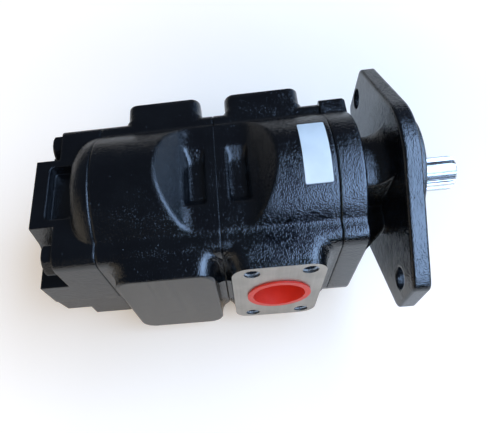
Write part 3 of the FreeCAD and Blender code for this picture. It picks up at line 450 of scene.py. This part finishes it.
def port_threads(name, port, y_face, thread, material):
    """Threads of the four bolt holes round a port, as one piece."""
    inward = -1 if y_face > 0 else 1
    bm = bmesh.new()
    for x, z in bolt_places(port):
        screw_ridge(bm, x, z, y_face, inward, port.bolt_radius, thread)
    new_piece(name, bm, material)


def in_port(centre, normal, port, face_y):
    """True on a machined port face and on the walls of the holes in it."""
    side = 1 if face_y > 0 else -1
    outwards = side * (centre.y - face_y)
    if outwards > -FACE_MARGIN:
        return True
    if outwards < -HOLE_DEPTH or abs(normal.y) > 0.5:
        return False
    holes = [(port.x, PORT_Z, port.radius)]
    holes += [(x, z, port.bolt_radius) for x, z in bolt_places(port)]
    for x, z, radius in holes:
        out = Vector((centre.x - x, 0, centre.z - z))
        if out.length < radius + FACE_MARGIN and out.dot(normal) < 0:
            return True
    return False


def on_front_ports(centre, normal):
    return (in_port(centre, normal, SUCTION, SUCTION_FACE)
            or in_port(centre, normal, FRONT_OUTLET, OUTLET_FACE))


def on_rear_port(centre, normal):
    return in_port(centre, normal, REAR_OUTLET, OUTLET_FACE)


def on_blank_pad(centre, normal):
    """True on the near face of the rear housing's pad, which is as far out as the outlets' faces."""
    return centre.y < -OUTLET_FACE + FACE_MARGIN


def dress_castings():
    """Enamel on the castings, bare iron on the port faces and smooth enamel on the blank pad, whose
    reflections carry a painted warm tint.
    """
    enamel = black_enamel("black_enamel", worn_scoops=True)
    smooth_enamel = black_enamel("smooth_enamel", 0.12, 0.16, streaks_and_warm_reflection=True)
    iron = machined_iron("machined_iron")
    for node in ("front_cover", "front_gear_housing", "rear_gear_housing", "rear_cover"):
        dress(node, enamel, iron, smooth_enamel)
    set_faces("front_gear_housing", 1, on_front_ports)
    set_faces("rear_gear_housing", 1, on_rear_port)
    set_faces("rear_gear_housing", 2, on_blank_pad)


def dress_the_rest():
    """One material for each of the other CAD nodes."""
    looks = (
        (black_enamel("bolt_enamel", 0.3, 0.18),
         ("tie_bolts",)),
        (bright_metal("ground_steel"),
         ("dowel_pins", "coupling_sleeve", "rear_drive_gear", "front_idler_gear",
          "rear_idler_gear", "shaft_seal_case", "garter_spring", "seal_retaining_ring")),
        (bright_metal("spline_steel", (0.76, 0.76, 0.75), 0.18),
         ("drive_gear_shaft",)),
        (bright_metal("block_alloy", (0.72, 0.73, 0.75), 0.3, LONG_Z),
         ("front_bearing_block", "rear_bearing_block")),
        (bright_metal("bronze", (0.62, 0.44, 0.24), 0.3, LONG_Z),
         ("front_thrust_plate", "rear_thrust_plate", "front_block_bushes", "front_web_bushes",
          "rear_web_bushes", "rear_block_bushes")),
        (plain_rubber("seal_rubber"),
         ("front_block_seal", "rear_block_seal", "front_body_seal", "mid_joint_seals",
          "rear_body_seal", "shaft_seal_lip")),
        (red_plastic("red_plastic"),
         ("suction_port_plug", "front_outlet_plug", "rear_outlet_plug")),
    )
    for material, nodes in looks:
        for node in nodes:
            dress(node, material)


def add_pieces():
    """Threads in the bolt holes of the ports, and the blank plate in the label's place."""
    steel = threaded_steel("threaded_steel")
    port_threads("suction_threads", SUCTION, SUCTION_FACE, SUCTION_THREAD, steel)
    port_threads("front_outlet_threads", FRONT_OUTLET, OUTLET_FACE, OUTLET_THREAD, steel)
    port_threads("rear_outlet_threads", REAR_OUTLET, OUTLET_FACE, OUTLET_THREAD, steel)
    label_plate(blank_label("blank_label"))


def make_camera():
    camera = bpy.data.objects.new("camera", bpy.data.cameras.new("camera"))
    bpy.context.scene.collection.objects.link(camera)
    turn = Matrix((CAMERA_RIGHT, CAMERA_UP, CAMERA_BACK)).transposed()
    camera.matrix_world = Matrix.Translation(CAMERA_PLACE) @ turn.to_4x4()
    camera.data.sensor_fit = "HORIZONTAL"
    camera.data.sensor_width = CAMERA_SENSOR
    camera.data.lens = CAMERA_LENS
    camera.data.shift_x = CAMERA_SHIFT[0]
    camera.data.shift_y = CAMERA_SHIFT[1]
    camera.data.clip_start = CAMERA_CLIP[0]
    camera.data.clip_end = CAMERA_CLIP[1]
    bpy.context.scene.camera = camera


def soft_lamp(name, place, target, size, power, colour, along=(0, 0, 1)):
    """Area lamp, with the second of its two sizes towards the direction along."""
    lamp = bpy.data.lights.new(name, "AREA")
    lamp.shape = "RECTANGLE"
    lamp.size = size[0]
    lamp.size_y = size[1]
    lamp.energy = power
    lamp.color = colour
    holder = bpy.data.objects.new(name, lamp)
    bpy.context.scene.collection.objects.link(holder)
    back = (Vector(place) - Vector(target)).normalized()
    right = Vector(along).cross(back).normalized()
    turn = Matrix((right, back.cross(right), back)).transposed()
    holder.matrix_world = Matrix.Translation(place) @ turn.to_4x4()
    return holder


def make_lights():
    """A large cool window over the shaft's end, two weak fills and a warm room behind the camera."""
    soft_lamp("window", place=(0.74, -0.24, 0.95), target=(0.74, -0.24, 0.0), size=(1.08, 1.6),
              power=38.0, colour=(0.44, 0.64, 1.0), along=(0.16, 0.99, 0.0))
    soft_lamp("low_cool", place=(1.25, 0.95, 0.42), target=PUMP_MIDDLE, size=(1.2, 0.7),
              power=1.8, colour=(0.36, 0.60, 1.0))
    soft_lamp("low_fill", place=(-1.3, -0.4, 0.40), target=PUMP_MIDDLE, size=(1.2, 0.8),
              power=1.2, colour=(1.0, 0.82, 0.58))
    room = soft_lamp("room", place=(-0.5, -1.1, 1.0), target=PUMP_MIDDLE, size=(0.9, 0.9),
                     power=10.5, colour=(1.0, 0.84, 0.64))
    room.visible_glossy = False


def make_world():
    """Dim blue-grey room, paler at the horizon, so that the paint stays black from above."""
    world = bpy.data.worlds.new("studio")
    bpy.context.scene.world = world
    world.use_nodes = True
    nodes = world.node_tree.nodes
    link = world.node_tree.links.new
    nodes.clear()
    output = nodes.new("ShaderNodeOutputWorld")
    surround = nodes.new("ShaderNodeBackground")
    split = nodes.new("ShaderNodeSeparateXYZ")
    link(nodes.new("ShaderNodeTexCoord").outputs["Generated"], split.inputs["Vector"])
    height = nodes.new("ShaderNodeMapRange")
    height.interpolation_type = "SMOOTHSTEP"
    height.inputs["From Max"].default_value = HORIZON_HEIGHT
    link(split.outputs["Z"], height.inputs["Value"])
    blend = nodes.new("ShaderNodeMix")
    blend.data_type = "RGBA"
    blend.inputs[6].default_value = HORIZON_COLOUR
    blend.inputs[7].default_value = ROOM_COLOUR
    link(height.outputs["Result"], blend.inputs[0])
    link(blend.outputs[2], surround.inputs["Color"])
    link(surround.outputs["Background"], output.inputs["Surface"])


def make_floor():
    lowest = CAD_BOX[0].z - FLOOR_GAP
    corners = [(side_x * FLOOR_REACH, side_y * FLOOR_REACH, lowest)
               for side_x, side_y in ((-1, -1), (1, -1), (1, 1), (-1, 1))]
    mesh = bpy.data.meshes.new("floor")
    mesh.from_pydata(corners, [], [(0, 1, 2, 3)])
    mesh.materials.append(floor_paper("floor_paper"))
    floor = bpy.data.objects.new("floor", mesh)
    bpy.context.scene.collection.objects.link(floor)


bpy.context.scene.view_settings.view_transform = "Standard"
make_camera()
make_world()
make_floor()
make_lights()
dress_castings()
dress_the_rest()
add_pieces()
